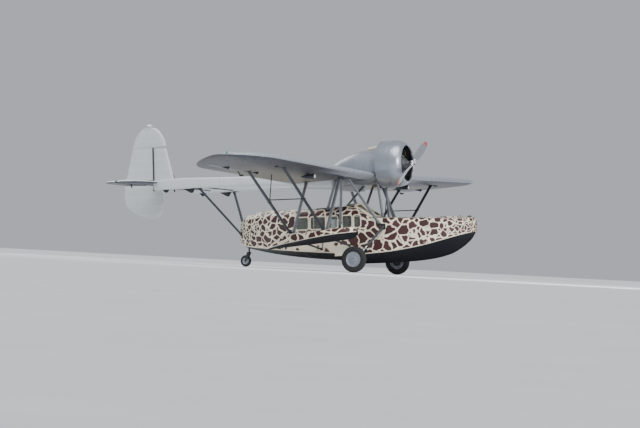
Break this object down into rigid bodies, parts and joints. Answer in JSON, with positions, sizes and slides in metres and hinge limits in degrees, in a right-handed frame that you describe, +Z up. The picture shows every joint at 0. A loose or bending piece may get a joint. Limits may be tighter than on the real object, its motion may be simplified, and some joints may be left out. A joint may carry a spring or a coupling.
{
  "type": "amphibious flying boat with one radial engine",
  "caption": "High-wing amphibious flying boat with a boat hull, wing floats, twin tail booms, a cowled radial engine and wheels down.",
  "frame": {"origin": "on the floor under the middle of the whole aircraft's box, standing on its wheels", "axes": "+X towards the nose, +Y towards the pilot's left wing tip, +Z up"},
  "size_m": [9.7904, 15.85, 3.4947],
  "materials": {
    "hull_paint": "gloss",
    "silver_dope": "satin",
    "strut_paint": "satin",
    "engine_metal": "rough",
    "propeller_metal": "polished",
    "window_glass": "clear",
    "hatch_paint": "gloss",
    "seat_leather": "worn",
    "panel_paint": "matt",
    "tyre_rubber": "matt"
  },
  "bodies": {
    "airframe": {"hull_bow": "hull_paint", "hull_cabin": "hull_paint", "cabin_bottom": "hull_paint", "hull_aft": "hull_paint", "cabin_roof": "hull_paint", "float_left": "hull_paint", "float_right": "hull_paint", "windscreen_glass": "window_glass", "side_glass_left": "window_glass", "side_glass_right": "window_glass", "front_seats": "seat_leather", "rear_seat": "seat_leather", "instrument_panel": "panel_paint", "wing_centre": "silver_dope", "wing_left": "silver_dope", "wing_right": "silver_dope", "nacelle": "silver_dope", "cowl": "silver_dope", "tailplane": "silver_dope", "fin": "silver_dope", "boom_left": "silver_dope", "boom_right": "silver_dope", "engine": "engine_metal", "lift_strut_front_left": "strut_paint", "lift_strut_front_right": "strut_paint", "lift_strut_rear_left": "strut_paint", "lift_strut_rear_right": "strut_paint", "float_strut_front_left": "strut_paint", "float_strut_front_right": "strut_paint", "float_strut_rear_left": "strut_paint", "float_strut_rear_right": "strut_paint", "cabane_front_left": "strut_paint", "cabane_front_right": "strut_paint", "cabane_middle_left": "strut_paint", "cabane_middle_right": "strut_paint", "cabane_rear_left": "strut_paint", "cabane_rear_right": "strut_paint", "engine_strut_left": "strut_paint", "engine_strut_right": "strut_paint", "tail_strut_left": "strut_paint", "tail_strut_right": "strut_paint", "jury_frame_left": "strut_paint", "jury_frame_right": "strut_paint", "spreader_left": "strut_paint", "spreader_right": "strut_paint", "gear_leg_left": "strut_paint", "gear_leg_right": "strut_paint"},
    "aileron_left": {"aileron_left": "silver_dope"},
    "aileron_right": {"aileron_right": "silver_dope"},
    "elevator_left": {"elevator_left": "silver_dope"},
    "elevator_right": {"elevator_right": "silver_dope"},
    "rudder": {"rudder": "silver_dope"},
    "propeller": {"propeller": "propeller_metal"},
    "wheel_left": {"wheel_left": "tyre_rubber"},
    "wheel_right": {"wheel_right": "tyre_rubber"},
    "tail_fork": {"tail_fork": "strut_paint"},
    "tail_wheel": {"tail_wheel": "tyre_rubber"},
    "bow_hatch": {"bow_hatch": "hull_paint"},
    "roof_hatch_front": {"roof_hatch_front": "hatch_paint"},
    "roof_hatch_rear": {"roof_hatch_rear": "hatch_paint"}
  },
  "joints": [
    {"name": "propeller_spin", "type": "hinge", "parent": "airframe", "child": "propeller", "pos_m": [3.12101, 0, 2.83657], "axis": [0.9962, 0, 0.0872], "continuous": true},
    {"name": "wheel_left_spin", "type": "hinge", "parent": "airframe", "child": "wheel_left", "pos_m": [2.2764, 1.5, 0.32841], "axis": [0, 1, 0], "continuous": true},
    {"name": "wheel_right_spin", "type": "hinge", "parent": "airframe", "child": "wheel_right", "pos_m": [2.2764, -1.5, 0.32841], "axis": [0, 1, 0], "continuous": true},
    {"name": "tail_fork_swivel", "type": "hinge", "parent": "airframe", "child": "tail_fork", "pos_m": [-1.24776, 0, 0.45173], "axis": [-0.0872, 0, 0.9962], "continuous": true},
    {"name": "tail_wheel_spin", "type": "hinge", "parent": "tail_fork", "child": "tail_wheel", "pos_m": [-1.32163, 0, 0.14872], "axis": [0, 1, 0], "continuous": true},
    {"name": "rudder_hinge", "type": "hinge", "parent": "airframe", "child": "rudder", "pos_m": [-4.1093, 0, 2.40978], "axis": [-0.0872, 0, 0.9962], "range_deg": [-25, 25]},
    {"name": "elevator_left_hinge", "type": "hinge", "parent": "airframe", "child": "elevator_left", "pos_m": [-4.07226, 1.2, 1.9864], "axis": [0, 1, 0], "range_deg": [-20, 25]},
    {"name": "elevator_right_hinge", "type": "hinge", "parent": "airframe", "child": "elevator_right", "pos_m": [-4.07226, -1.2, 1.9864], "axis": [0, 1, 0], "range_deg": [-20, 25]},
    {"name": "aileron_left_hinge", "type": "hinge", "parent": "airframe", "child": "aileron_left", "pos_m": [0.73503, 5.5, 2.34212], "axis": [-0.0022, 0.9997, 0.0247], "range_deg": [-20, 20]},
    {"name": "aileron_right_hinge", "type": "hinge", "parent": "airframe", "child": "aileron_right", "pos_m": [0.73503, -5.5, 2.34212], "axis": [0.0022, 0.9997, -0.0247], "range_deg": [-20, 20]},
    {"name": "bow_hatch_hinge", "type": "hinge", "parent": "airframe", "child": "bow_hatch", "pos_m": [4.02699, 0, 1.52253], "axis": [0, -1, 0], "range_deg": [0, 110]},
    {"name": "roof_hatch_front_hinge", "type": "hinge", "parent": "airframe", "child": "roof_hatch_front", "pos_m": [1.48788, 0, 1.67682], "axis": [0, 1, 0], "range_deg": [0, 100]},
    {"name": "roof_hatch_rear_hinge", "type": "hinge", "parent": "airframe", "child": "roof_hatch_rear", "pos_m": [0.69751, 0, 1.60064], "axis": [0, -1, 0], "range_deg": [0, 100]}
  ],
  "couplings": [
    {"joint": "elevator_right_hinge", "follows": "elevator_left_hinge", "ratio": 1},
    {"joint": "aileron_right_hinge", "follows": "aileron_left_hinge", "ratio": -1}
  ]
}
